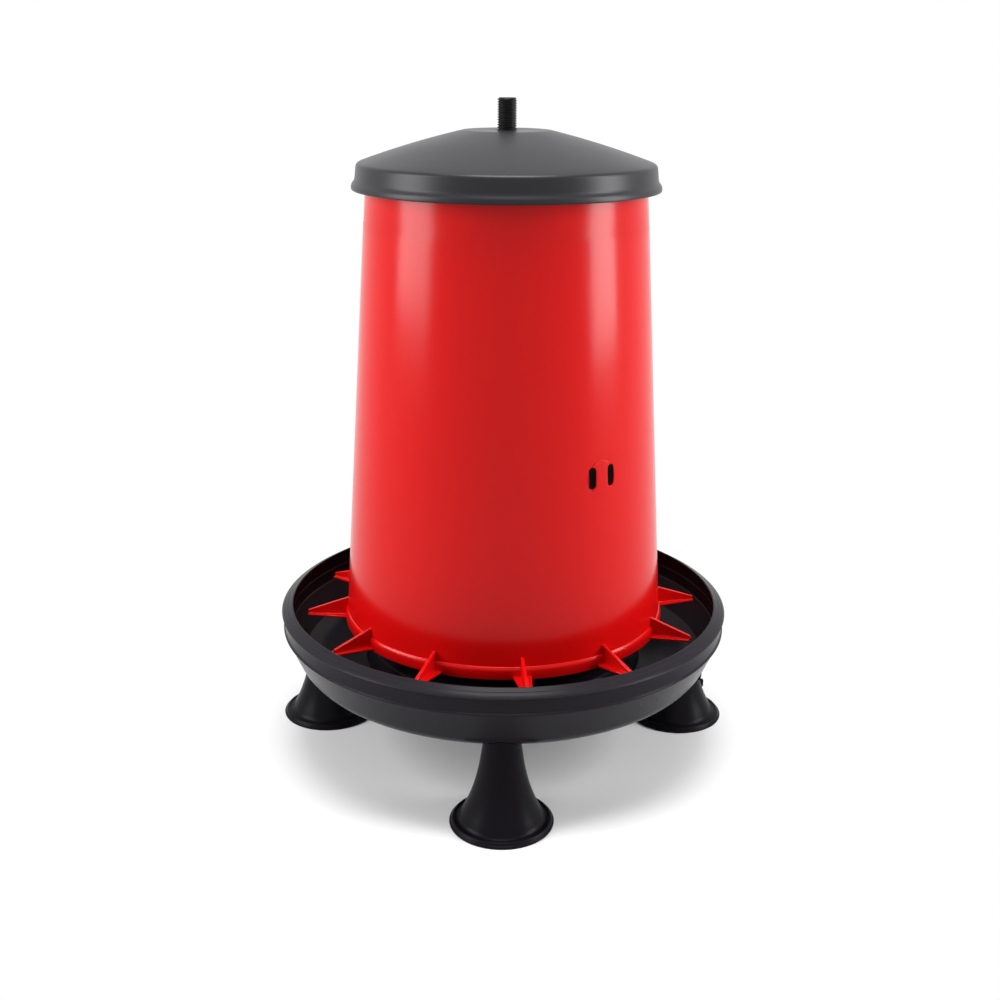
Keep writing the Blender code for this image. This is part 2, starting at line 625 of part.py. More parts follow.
# Crossbar and adjusting nut
def make_crossbar(parent, shade):
    top_z = SLOT_Z + SLOT_H / 2 - GAP
    tongue_w = SLOT_W - 2 * GAP
    tip_r = hopper_r(SLOT_Z) - BAR_TONGUE_INSET
    inside_r = hopper_r(top_z) - HOPPER_WALL - GAP
    offset = hopper_r(SLOT_Z) * math.sin(math.radians(SLOT_APART / 2))
    reach = math.sqrt(inside_r ** 2 - (offset + BAR_RIB_W) ** 2) - OVERLAP
    plate_top = top_z - BAR_STEP
    rib_h = BAR_RIB_H - 3 * BAR_STEP
    bar = rod("crossbar", BAR_HUB_R, top_z - BAR_HUB_H + BAR_PLATE_H, top_z + BAR_PLATE_H, COARSE, parent)
    pieces = []
    bm = bmesh.new()
    block(bm, (2 * reach, 2 * offset + BAR_RIB_W + BAR_STEP, BAR_PLATE_H), (0, 0, plate_top - BAR_PLATE_H / 2),
          SLOT_AZIMUTH)
    pieces.append(from_bmesh("plate", bm, parent))
    for side in (-1, 1):
        bm = bmesh.new()
        block(bm, (2 * reach - OVERLAP, BAR_RIB_W, rib_h), (0, side * offset, plate_top - BAR_STEP - rib_h / 2),
              SLOT_AZIMUTH)
        pieces.append(from_bmesh("rib", bm, parent))
    for pair in (0.0, 180.0):
        for side in (-0.5, 0.5):
            bm = bmesh.new()
            obround(bm, tongue_w, BAR_RIB_H, tip_r - BAR_TONGUE_L, tip_r, SLOT_AZIMUTH + pair + side * SLOT_APART,
                    top_z - BAR_RIB_H / 2)
            pieces.append(from_bmesh("tongue", bm, parent))
    combine(bar, pieces, "UNION")
    bore = rod("hub_bore", STEM_BORE_R, top_z - BAR_HUB_H - OVERLAP, top_z + BAR_PLATE_H + OVERLAP, COARSE, parent)
    combine(bar, [bore], "DIFFERENCE")
    smooth(bar)
    bar.data.materials.append(shade)
    return bar


def make_adjusting_nut(parent, shade):
    top_z = SLOT_Z + SLOT_H / 2 - GAP + BAR_PLATE_H - BAR_HUB_H - GAP
    plate_top = top_z - NUT_BOSS_H
    nut = turned("adjusting_nut", rounded([
        (NUT_BOSS_R, top_z, BREAK),
        (NUT_BOSS_R, plate_top, 0.0),
        (NUT_R, plate_top, 2 * BREAK),
        (NUT_R, plate_top - NUT_H, 2 * BREAK),
        (STEM_BORE_R, plate_top - NUT_H, 0.0),
        (STEM_BORE_R, top_z, 0.0),
    ]), NUT_FACETS, parent)
    applied(nut)
    scallops = []
    for number in range(NUT_SCALLOPS):
        place = polar(NUT_R + NUT_SCALLOP_SET, 360.0 * number / NUT_SCALLOPS)
        scallops.append(rod("scallop", NUT_SCALLOP_R, plate_top - NUT_H - OVERLAP, plate_top + OVERLAP,
                            SCALLOP_FACETS, parent, place))
    combine(nut, scallops, "DIFFERENCE")
    smooth(nut)
    nut.data.materials.append(shade)
    return nut


# Lid
def make_lid(parent, shade):
    shoulder_z = LID_TOP_Z - LID_CONE_H
    skirt_z = shoulder_z - LID_SKIRT_H
    lip_top_z = skirt_z - LID_LIP_SLOPE
    lip_z = lip_top_z - LID_LIP_H
    skirt_r = LID_SKIRT_R + LID_SKIRT_SPREAD
    lip_r = skirt_r + LID_LIP_W
    under = LID_WALL * LID_LEAN
    cone = bowed((LID_TOP_R, LID_TOP_Z), (LID_SHOULDER_R, shoulder_z), LID_CROWN, LID_CONE_STEPS)
    profile = rounded([(LID_HOLE_R, LID_TOP_Z, 0.0)] + [(x, z, 0.0) for x, z in cone] + [
        (LID_SKIRT_R, shoulder_z - LID_SHOULDER_H, LID_FILLET),
        (skirt_r, skirt_z, LID_FILLET),
        (lip_r, lip_top_z, LID_FILLET),
        (lip_r, lip_z, BREAK),
        (lip_r - LID_WALL, lip_z, 0.0),
        (lip_r - LID_WALL, lip_top_z - LID_LIP_TURN, 0.0),
        (skirt_r - LID_WALL, skirt_z - LID_LIP_TURN, 0.0),
        (LID_SKIRT_R - LID_WALL, shoulder_z - LID_SHOULDER_H - LID_WALL, 0.0),
        (LID_SHOULDER_R - LID_WALL * LID_SLOPE, shoulder_z - under, 0.0),
        (LID_TOP_R, LID_TOP_Z - under, 0.0),
        (LID_HOLE_R, LID_TOP_Z - under, 0.0),
    ])
    lid = turned("lid", profile, FINE, parent)
    applied(lid)
    smooth(lid)
    lid.data.materials.append(shade)
    return lid


def main():
    remove_all()
    red = material("hopper_red", (0.60, 0.004, 0.004), 0.28)
    pan_black = material("pan_black", (0.018, 0.016, 0.020), 0.32)
    lid_grey = material("lid_grey", (0.060, 0.055, 0.066), 0.38)
    foot_black = material("foot_black", (0.010, 0.009, 0.011), 0.30)
    stem_black = material("stem_black", (0.012, 0.012, 0.012), 0.45)
    bar_black = material("bar_black", (0.012, 0.012, 0.012), 0.50)
    nut_black = material("nut_black", (0.014, 0.014, 0.015), 0.45)

    axis = empty("feeder_axis", None, (0.0, AXIS_Y, 0.0))
    lift = empty("hopper_lift", axis)
    bpy.context.view_layer.update()

    make_pan(axis, pan_black)
    make_feet(axis, foot_black)
    make_stem(axis, stem_black)
    make_pan_nut(axis, nut_black)
    make_hopper(lift, red)
    make_crossbar(lift, bar_black)
    make_adjusting_nut(lift, nut_black)
    make_lid(lift, lid_grey)


main()
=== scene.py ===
"""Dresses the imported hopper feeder: finished shapes, moulded plastics, stage and camera."""

import math

import bmesh
import bpy
from mathutils import Matrix, Vector


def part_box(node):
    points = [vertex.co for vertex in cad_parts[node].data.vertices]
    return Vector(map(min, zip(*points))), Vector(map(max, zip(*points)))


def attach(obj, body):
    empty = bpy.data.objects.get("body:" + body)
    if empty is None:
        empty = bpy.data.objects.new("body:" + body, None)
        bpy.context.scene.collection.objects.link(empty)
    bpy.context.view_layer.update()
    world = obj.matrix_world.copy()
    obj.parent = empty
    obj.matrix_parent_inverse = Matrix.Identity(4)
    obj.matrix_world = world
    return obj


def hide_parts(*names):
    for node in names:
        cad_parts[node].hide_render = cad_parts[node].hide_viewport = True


bl_info = {
    "name": "Hopper feeder",
    "version": (1, 0, 0),
    "blender": (4, 5, 0),
    "location": "View3D > Sidebar > Feeder",
    "description": "Builds a poultry hopper feeder with its pan, feet, threaded stem, hopper and lid",
    "category": "Add Mesh",
}

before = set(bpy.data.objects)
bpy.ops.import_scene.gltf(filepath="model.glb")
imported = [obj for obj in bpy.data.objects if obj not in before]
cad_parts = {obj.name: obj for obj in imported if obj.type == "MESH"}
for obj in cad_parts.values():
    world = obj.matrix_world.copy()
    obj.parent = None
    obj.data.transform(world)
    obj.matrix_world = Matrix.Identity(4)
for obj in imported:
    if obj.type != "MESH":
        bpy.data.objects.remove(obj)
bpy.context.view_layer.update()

MM = 0.001
STEM_LOW, STEM_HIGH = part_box("stem")
LID_LOW, LID_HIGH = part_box("lid")
HOPPER_LOW, HOPPER_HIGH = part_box("hopper")
AXIS = Vector(((STEM_LOW.x + STEM_HIGH.x) / 2, (STEM_LOW.y + STEM_HIGH.y) / 2, 0.0))

# Values that the pieces share
GAP = 0.3 * MM               # clearance between pieces
ROUND = 192                  # steps round a large turned piece
NECK = 72                    # steps round a small turned piece
MERGE = 0.000005             # points this close become one after a boolean
SEAM = 0.00001               # and where a turned shape closes on itself
CORNER = 1.0                 # edges with a larger angle, in radians, count as corners
PAN_BOTTOM = 72.0 * MM
PAN_EDGE = PAN_BOTTOM + 54.7 * MM
PAN_SLOPE = 0.438            # how far the lower wall leans out over its height
PAN_WALL = 3.3 * MM
HUB_TOP = 118.0 * MM
HUB_R = 24.0 * MM
PEG_R = 7.0 * MM
PEG_BORE = 4.5 * MM
PEG_LENGTH = 24.0 * MM
STEM_R = 8.0 * MM
STEM_BORE = STEM_R + GAP
HOPPER_FOOT_R = 141.6 * MM
HOPPER_TAPER = 0.0641        # radius lost over height
HOPPER_WALL = 2.3 * MM
HOPPER_LINE = 469.0 * MM     # faint step below the lid
HOPPER_RINGS = 44            # rings up the wall, so that it shades evenly beside the slots and teeth
SLOT_Z = 278.0 * MM          # middle of the slots
SLOT_WIDTH = 7.3 * MM
SLOT_HEIGHT = 18.5 * MM
SLOT_AZIMUTH = -53.3         # degrees, as all azimuths
SLOT_APART = 8.3             # degrees between the two slots of a pair
BOSS_R = 13.8 * MM
BOSS_PROUD = 0.6 * MM
TOOTH_WEB = 2.8 * MM
TOOTH_PLATE = 1.7 * MM
FOOT_CIRCLE = 167.0 * MM
FOOT_WALL = 2.5 * MM
FOOT_AZIMUTHS = {"foot_front": -90.0, "foot_right": 9.0, "foot_left": 171.0}
FOOT_TURNS = {"foot_front": 120.0, "foot_right": 0.0, "foot_left": 75.0}    # way that each catch faces


# Shape tools
def polar(radius, azimuth):
    """A point round the stem at a radius and an azimuth in degrees."""
    angle = math.radians(azimuth)
    return Vector((radius * math.cos(angle), radius * math.sin(angle), 0.0))


def upright(azimuth):
    """A turn about the upright axis by an azimuth in degrees."""
    return Matrix.Rotation(math.radians(azimuth), 3, "Z")


def turn(bm, azimuth):
    """Turns a bmesh about the upright axis through the origin."""
    bmesh.ops.rotate(bm, verts=bm.verts, cent=(0, 0, 0), matrix=upright(azimuth))


def put_round_stem(bm, azimuth, z=0.0):
    """Turns a bmesh by an azimuth and moves it from the origin to the stem, at a height."""
    turn(bm, azimuth)
    bmesh.ops.translate(bm, verts=bm.verts, vec=AXIS + Vector((0, 0, z)))


def round_edges(bm, edges, offset, segments):
    """Rounds edges of a bmesh."""
    bmesh.ops.bevel(bm, geom=edges, offset=offset, offset_type="OFFSET", affect="EDGES",
                    segments=segments, profile=0.5, material=-1, clamp_overlap=True)


def profile(bm, corners, closed=True):
    """Draws a profile of (radius, height, rounding) corners at +X and rounds its corners."""
    verts = [bm.verts.new((x, 0.0, z)) for x, z, _ in corners]
    for first, second in zip(verts, verts[1:]):
        bm.edges.new((first, second))
    if closed:
        bm.edges.new((verts[-1], verts[0]))
    for vert, (_, _, rounding) in zip(verts, corners):
        if rounding > 0.0:
            bmesh.ops.bevel(bm, geom=[vert], offset=rounding, offset_type="OFFSET", affect="VERTICES",
                            segments=4, profile=0.5, material=-1, clamp_overlap=True)


def turned(corners, steps, centre=AXIS, closed=True):
    """A bmesh of a profile spun once round an upright axis."""
    bm = bmesh.new()
    profile(bm, corners, closed)
    bmesh.ops.spin(bm, geom=bm.verts[:] + bm.edges[:], cent=(0, 0, 0), axis=(0, 0, 1), dvec=(0, 0, 0),
                   angle=2 * math.pi, steps=steps, use_merge=True, use_duplicate=False)
    bmesh.ops.remove_doubles(bm, verts=bm.verts, dist=SEAM)
    bmesh.ops.recalc_face_normals(bm, faces=bm.faces)
    bmesh.ops.translate(bm, verts=bm.verts, vec=centre)
    return bm


def rod(radius, low, high, steps, centre=AXIS):
    """A bmesh of an upright rod between two heights."""
    bm = bmesh.new()
    bmesh.ops.create_cone(bm, cap_ends=True, segments=steps, radius1=radius, radius2=radius,
                          depth=high - low)
    bmesh.ops.translate(bm, verts=bm.verts, vec=(centre.x, centre.y, (low + high) / 2))
    return bm


def slot_shape(width, height, start, end, azimuth, z):
    """A bmesh of an upright rounded bar that runs outward from one radius to another."""
    bm = bmesh.new()
    bmesh.ops.create_circle(bm, cap_ends=True, segments=24, radius=width / 2)
    bmesh.ops.rotate(bm, verts=bm.verts, cent=(0, 0, 0), matrix=Matrix.Rotation(math.pi / 2, 3, "X"))
    stretch = (height - width) / 2
    upper = [v for v in bm.verts if v.co.z > 1e-7]
    lower = [v for v in bm.verts if v.co.z < -1e-7]
    bmesh.ops.translate(bm, verts=upper, vec=(0, 0, stretch))
    bmesh.ops.translate(bm, verts=lower, vec=(0, 0, -stretch))
    turn(bm, 90.0)
    bmesh.ops.translate(bm, verts=bm.verts, vec=(start, 0, 0))
    grown = bmesh.ops.extrude_face_region(bm, geom=bm.faces[:])
    moved = [g for g in grown["geom"] if isinstance(g, bmesh.types.BMVert)]
    bmesh.ops.translate(bm, verts=moved, vec=(end - start, 0, 0))
    put_round_stem(bm, azimuth, z)
    bmesh.ops.recalc_face_normals(bm, faces=bm.faces)
    return bm


def slot_row(width, height, start, end):
    """The upright rounded bars of all four slots, two to a pair, on the hopper's two sides."""
    return [slot_shape(width, height, start, end, SLOT_AZIMUTH + pair + side * SLOT_APART / 2, SLOT_Z)
            for pair in (0.0, 180.0) for side in (-1, 1)]


def block(size, centre, azimuth):
    """A bmesh of a box that is turned round the stem."""
    bm = bmesh.new()
    bmesh.ops.create_cube(bm, size=1.0)
    bmesh.ops.scale(bm, verts=bm.verts, vec=size)
    bmesh.ops.translate(bm, verts=bm.verts, vec=centre)
    put_round_stem(bm, azimuth)
    return bm


def add(bm, extra):
    """Adds the shape of one bmesh to another."""
    mesh = bpy.data.meshes.new("extra")
    extra.to_mesh(mesh)
    extra.free()
    bm.from_mesh(mesh)
    bpy.data.meshes.remove(mesh)


def as_object(name, bm):
    """Turns a bmesh into an object of the scene."""
    mesh = bpy.data.meshes.new(name)
    bm.to_mesh(mesh)
    bm.free()
    made = bpy.data.objects.new(name, mesh)
    bpy.context.scene.collection.objects.link(made)
    return made


def combine(thing, shapes, operation):
    """Joins bmesh shapes to an object, or cuts them out of it, and leaves one plain mesh."""
    tools = [as_object("tool", shape) for shape in shapes]
    for tool in tools:
        step = thing.modifiers.new(operation.lower(), "BOOLEAN")
        step.object = tool
        step.operation = operation
        step.solver = "EXACT"
    bpy.context.view_layer.update()
    graph = bpy.context.evaluated_depsgraph_get()
    mesh = bpy.data.meshes.new_from_object(thing.evaluated_get(graph))
    thing.modifiers.clear()
    old = thing.data
    thing.data = mesh
    bpy.data.meshes.remove(old)
    for tool in tools:
        bpy.data.objects.remove(tool, do_unlink=True)
    mesh.name = thing.name
    bm = bmesh.new()
    bm.from_mesh(mesh)
    bmesh.ops.remove_doubles(bm, verts=bm.verts, dist=MERGE)
    bmesh.ops.dissolve_degenerate(bm, edges=bm.edges, dist=MERGE)
    bm.to_mesh(mesh)
    bm.free()


def finish_piece(thing, body, node, material, degrees=30.0):
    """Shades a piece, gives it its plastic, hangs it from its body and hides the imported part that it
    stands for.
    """
    thing.data.materials.clear()
    thing.data.materials.append(material)
    thing.data.shade_smooth()
    thing.data.set_sharp_from_angle(angle=math.radians(degrees))
    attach(thing, body)
    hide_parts(node)


def bowed(start, end, bulge, steps):
    """Corners from start to end on a shallow curve, or on the straight line where the bulge is 0."""
    (x0, z0), (x1, z1) = start, end
    length = math.hypot(x1 - x0, z1 - z0)
    nx, nz = -(z1 - z0) / length, (x1 - x0) / length
    corners = []
    for step in range(steps + 1):
        t = step / steps
        lift = 4.0 * bulge * t * (1.0 - t)
        corners.append((x0 + (x1 - x0) * t + nx * lift, z0 + (z1 - z0) * t + nz * lift, 0.0))
    return corners


# Plastics
def feed(tree, socket, value):
    """Sets a socket to a number, or links another node's output to it."""
    if isinstance(value, bpy.types.NodeSocket):
        tree.links.new(value, socket)
    else:
        socket.default_value = value


def calculate(tree, operation, *values):
    """The output of a new math node on numbers and other nodes' outputs."""
    node = tree.nodes.new("ShaderNodeMath")
    node.operation = operation
    for socket, value in zip(node.inputs, values):
        feed(tree, socket, value)
    return node.outputs[0]


def noise(tree, place, scale, detail):
    """The output of a new noise texture at a place."""
    node = tree.nodes.new("ShaderNodeTexNoise")
    feed(tree, node.inputs["Vector"], place)
    feed(tree, node.inputs["Scale"], scale)
    feed(tree, node.inputs["Detail"], detail)
    return node.outputs["Fac"]


def moulded_surface():
    """The shared effect of a moulded plastic: cloudy colour, uneven gloss and a fine grain."""
    made = bpy.data.node_groups.get("moulded_surface")
    if made:
        return made
    made = bpy.data.node_groups.new("moulded_surface", "ShaderNodeTree")
    face = made.interface
    for name, kind, default in (
            ("Colour", "NodeSocketColor", (0.5, 0.5, 0.5, 1.0)),
            ("Cloud", "NodeSocketFloat", 0.05),
            ("Gloss", "NodeSocketFloat", 0.3),
            ("Gloss Change", "NodeSocketFloat", 0.05),
            ("Grain Size", "NodeSocketFloat", 900.0),
            ("Grain Height", "NodeSocketFloat", 0.05)):
        socket = face.new_socket(name=name, in_out="INPUT", socket_type=kind)
        socket.default_value = default
    for name, kind in (("Colour", "NodeSocketColor"), ("Roughness", "NodeSocketFloat"),
                       ("Normal", "NodeSocketVector")):
        face.new_socket(name=name, in_out="OUTPUT", socket_type=kind)
    nodes, links = made.nodes, made.links
    start = nodes.new("NodeGroupInput")
    end = nodes.new("NodeGroupOutput")
    place = nodes.new("ShaderNodeTexCoord").outputs["Object"]
    cloud = calculate(made, "SUBTRACT", noise(made, place, 9.0, 3.0), 0.5)
    tint = nodes.new("ShaderNodeVectorMath")
    tint.operation = "SCALE"
    links.new(start.outputs["Colour"], tint.inputs[0])
    links.new(calculate(made, "MULTIPLY_ADD", cloud, start.outputs["Cloud"], 1.0), tint.inputs["Scale"])
    links.new(tint.outputs[0], end.inputs["Colour"])
    patch = calculate(made, "SUBTRACT", noise(made, place, 26.0, 4.0), 0.5)
    gloss = calculate(made, "MULTIPLY_ADD", patch, start.outputs["Gloss Change"], start.outputs["Gloss"])
    links.new(gloss, end.inputs["Roughness"])
    bump = nodes.new("ShaderNodeBump")
    bump.inputs["Distance"].default_value = 0.0002
    links.new(start.outputs["Grain Height"], bump.inputs["Strength"])
    links.new(noise(made, place, start.outputs["Grain Size"], 2.0), bump.inputs["Height"])
    links.new(bump.outputs[0], end.inputs["Normal"])
    return made


def plastic(name, colour, gloss, specular, cloud=0.06, gloss_change=0.06, grain_height=0.05):
    """A moulded plastic from the shared surface effect."""
    made = bpy.data.materials.get(name)
    if made:
        return made
    made = bpy.data.materials.new(name)
    made.use_nodes = True
    nodes, links = made.node_tree.nodes, made.node_tree.links
    shader = nodes["Principled BSDF"]
    shader.inputs["Specular IOR Level"].default_value = specular
    surface = nodes.new("ShaderNodeGroup")
    surface.node_tree = moulded_surface()
    surface.inputs["Colour"].default_value = (*colour, 1.0)
    surface.inputs["Cloud"].default_value = cloud
    surface.inputs["Gloss"].default_value = gloss
    surface.inputs["Gloss Change"].default_value = gloss_change
    surface.inputs["Grain Height"].default_value = grain_height
    links.new(surface.outputs["Colour"], shader.inputs["Base Color"])
    links.new(surface.outputs["Roughness"], shader.inputs["Roughness"])
    links.new(surface.outputs["Normal"], shader.inputs["Normal"])
    return made


# Settings that a user would change
def length(name, description, default):
    """A setting that is a length."""
    return bpy.props.FloatProperty(name=name, description=description, default=default, min=0.0,
                                   subtype="DISTANCE", unit="LENGTH")


def azimuth(name, description, default):
    """A setting that is an azimuth in degrees."""
    return bpy.props.FloatProperty(name=name, description=description, default=default)


def power(name, description, default):
    """A setting that is a lamp's power."""
    return bpy.props.FloatProperty(name=name, description=description, default=default, min=0.0,
                                   subtype="POWER", unit="POWER")


def colour(name, description, default):
    """A setting that is a colour."""
    return bpy.props.FloatVectorProperty(name=name, description=description, default=default,
                                         min=0.0, max=1.0, size=3, subtype="COLOR")


class FeederPanSettings(bpy.types.PropertyGroup):
    """Sizes and colour of the pan and the feet."""
    rim_radius: length("Rim radius", "Outer edge of the pan's rim", 199.8 * MM)
    trough_radius: length("Trough radius", "Crease between the inner wall and the floor", 181.0 * MM)
    cone_radius: length("Cone radius", "Shoulder of the pan's centre cone", 121.0 * MM)
    flange_radius: length("Foot radius", "Round flange at the bottom of each foot", 43.2 * MM)
    tint: colour("Pan colour", "Colour of the pan's plastic", (0.018, 0.016, 0.020))
    foot_tint: colour("Foot colour", "Colour of the feet's plastic", (0.006, 0.005, 0.007))


class FeederStemSettings(bpy.types.PropertyGroup):
    """Sizes and colour of the threaded stem and what sits on it."""
    pitch: length("Pitch", "Rise of the thread in one turn", 2.0 * MM)
    depth: length("Thread depth", "From the crest of the thread to its root", 1.1 * MM)
    flat_depth: length("Flat depth", "From the crest of the thread to the flat", 1.2 * MM)
    flat_azimuth: azimuth("Flat azimuth", "Direction that the stem's flat faces", -25.0)
    tint: colour("Stem colour", "Colour of the stem's plastic", (0.010, 0.010, 0.010))


class FeederHopperSettings(bpy.types.PropertyGroup):
    """Sizes and colour of the hopper."""
    ledge_radius: length("Ledge radius", "Band round the hopper's lower edge", 142.9 * MM)
    tooth_tip: length("Tooth tip", "Distance of each tooth's tip from the stem", 176.5 * MM)
    teeth: bpy.props.IntProperty(name="Teeth", description="Teeth round the lower edge", default=12,
                                 min=3, max=36)
    tooth_azimuth: azimuth("First tooth", "Azimuth of the first tooth", -83.5)
    tint: colour("Hopper colour", "Colour of the hopper's plastic", (0.60, 0.003, 0.003))


class FeederLidSettings(bpy.types.PropertyGroup):
    """Sizes and colour of the lid."""
    top_radius: length("Top radius", "Flat disc in the middle of the lid", 36.4 * MM)
    lip_radius: length("Lip radius", "Flared lower edge of the lid", 128.6 * MM)
    crown: length("Crown", "Bulge of the cone between its two edges", 1.3 * MM)
    tint: colour("Lid colour", "Colour of the lid's plastic", (0.0155, 0.0143, 0.0175))


class FeederStageSettings(bpy.types.PropertyGroup):
    """Floor and lamps."""
    side_power: power("Side lamps", "Power of each tall side lamp", 24.0)
    top_power: power("Top lamp", "Power of the lamp overhead", 30.0)
    floor_tint: colour("Floor colour", "Colour of the floor as the camera and reflections show it",
                       (0.93, 0.93, 0.93))


# Pan
def pan_outside(rim, clear):
    """Corners of the pan's outer side, from the rim's edge to the underside, set out by a clearance."""
    band = rim - 2.4 * MM
    bead = band + 1.1 * MM
    bead_foot = PAN_EDGE - 15.8 * MM
    wall = band - 0.3 * MM
    foot = wall - (bead_foot - PAN_BOTTOM) * PAN_SLOPE
    corners = [
        (rim + clear, PAN_EDGE, 0.5 * MM),
        (band + clear, PAN_EDGE - 2.2 * MM, 0.3 * MM),
        (band + clear, PAN_EDGE - 13.2 * MM, 0.3 * MM),
        (bead + clear, PAN_EDGE - 13.9 * MM, 0.5 * MM),
        (bead + clear, PAN_EDGE - 15.3 * MM, 0.5 * MM),
        (wall + clear, bead_foot, 0.2 * MM),
    ]
    radius = 25.6 * MM + clear
    lean = math.atan(PAN_SLOPE)
    sweep = math.pi / 2 - lean
    middle_r = foot + clear - radius * math.tan(sweep / 2)
    middle_z = PAN_BOTTOM - clear + radius
    steps = 12
    for step in range(steps + 1):
        angle = -lean - sweep * step / steps
        corners.append((middle_r + radius * math.cos(angle), middle_z + radius * math.sin(angle), 0.0))
    return corners


class FEEDER_OT_pan(bpy.types.Operator):
    """Builds the round pan with its rim, trough and centre cone"""
    bl_idname = "feeder.pan"
    bl_label = "Pan"

    def execute(self, context):
        sizes = context.scene.feeder_pan
        edge = PAN_EDGE
        floor = PAN_BOTTOM + PAN_WALL
        shoulder = PAN_BOTTOM + 20.0 * MM
        wall = sizes.rim_radius - 5.7 * MM
        crest = sizes.rim_radius - 10.3 * MM
        cone = sizes.cone_radius
        corners = pan_outside(sizes.rim_radius, 0.0) + [
            (cone + 3.0 * MM - PAN_WALL, PAN_BOTTOM, 0.8 * MM),
            (cone - PAN_WALL, shoulder - PAN_WALL, 1.2 * MM),
            (HUB_R, HUB_TOP - PAN_WALL, 0.8 * MM),
            (STEM_BORE, HUB_TOP - PAN_WALL, 0.3 * MM),
            (STEM_BORE, HUB_TOP, 0.4 * MM),
            (HUB_R, HUB_TOP, 1.2 * MM),
            (cone, shoulder, 2.4 * MM),
            (cone + 3.0 * MM, floor, 1.6 * MM),
            (sizes.trough_radius - 12.0 * MM, floor, 5.0 * MM),
            (sizes.trough_radius, PAN_BOTTOM + 11.0 * MM, 0.9 * MM),
            (wall - 2.5 * MM, edge - 20.7 * MM, 0.4 * MM),
            (wall - 1.6 * MM, edge - 19.7 * MM, 0.4 * MM),
            (wall - 0.5 * MM, edge - 10.5 * MM, 0.3 * MM),
            (wall, edge - 9.7 * MM, 0.3 * MM),
            (wall, edge + 0.8 * MM, 0.5 * MM),
            (crest, edge + 3.9 * MM, 0.5 * MM),
            (crest, edge + 6.1 * MM, 0.7 * MM),
            (crest + 1.2 * MM, edge + 5.9 * MM, 0.3 * MM),
            (crest + 4.4 * MM, edge + 3.7 * MM, 0.2 * MM),
            (crest + 5.2 * MM, edge + 3.5 * MM, 0.2 * MM),
            (crest + 7.6 * MM, edge + 1.9 * MM, 0.2 * MM),
            (crest + 8.3 * MM, edge + 1.7 * MM, 0.2 * MM),
        ]
        pan = as_object("pan_shell", turned(corners, ROUND))
        peg_top, peg_roof = PAN_BOTTOM + 2.8 * MM, PAN_BOTTOM + 1.0 * MM
        peg_foot = PAN_BOTTOM - PEG_LENGTH
        peg = [
            (PEG_R, peg_top, 0.0),
            (PEG_R, peg_foot, 0.6 * MM),
            (PEG_BORE, peg_foot, 0.4 * MM),
            (PEG_BORE, peg_roof, 0.4 * MM),
            (0.0, peg_roof, 0.0),
            (0.0, peg_top, 0.0),
        ]
        combine(pan, [turned(peg, NECK // 2, AXIS + polar(FOOT_CIRCLE, place))
                      for place in FOOT_AZIMUTHS.values()], "UNION")
        shade = plastic("pan_black_plastic", sizes.tint, 0.26, specular=0.07, grain_height=0.06,
                        gloss_change=0.08)
        finish_piece(pan, "base", "pan", shade)
        return {"FINISHED"}


# Feet
NECK_Z = PAN_BOTTOM - GAP
BELL_FOOT_Z = 10.0 * MM
NECK_R = 15.8 * MM
BELL_TAPER = 8.0 * MM        # radius gained evenly from the neck down
BELL_FLARE = 9.1 * MM        # radius gained more and more steeply
FLARE_POWER = 2.75


def bell(z):
    """Outside radius of a foot's trumpet at a height."""
    share = min(1.0, max(0.0, (NECK_Z - z) / (NECK_Z - BELL_FOOT_Z)))
    return NECK_R + BELL_TAPER * share + BELL_FLARE * share ** FLARE_POWER


def catch_block(proud, width, height, azimuth, z):
    """A bmesh of a rounded block that stands proud of a foot's neck."""
    root, tip = bell(z + height / 2) - 1.2 * MM, bell(z) + proud
    bm = bmesh.new()
    bmesh.ops.create_cube(bm, size=1.0)
    bmesh.ops.scale(bm, verts=bm.verts, vec=(tip - root, width, height))
    round_edges(bm, bm.edges[:], 1.3 * MM, 4)
    bmesh.ops.translate(bm, verts=bm.verts, vec=((tip + root) / 2, 0, z))
    turn(bm, azimuth)
    return bm


def stud(z, azimuth):
    """A bmesh of a small round stud on a foot's neck."""
    bm = bmesh.new()
    bmesh.ops.create_uvsphere(bm, u_segments=20, v_segments=12, radius=1.7 * MM)
    bmesh.ops.translate(bm, verts=bm.verts, vec=(bell(z) - 0.2 * MM, 0, z))
    turn(bm, azimuth)
    return bm


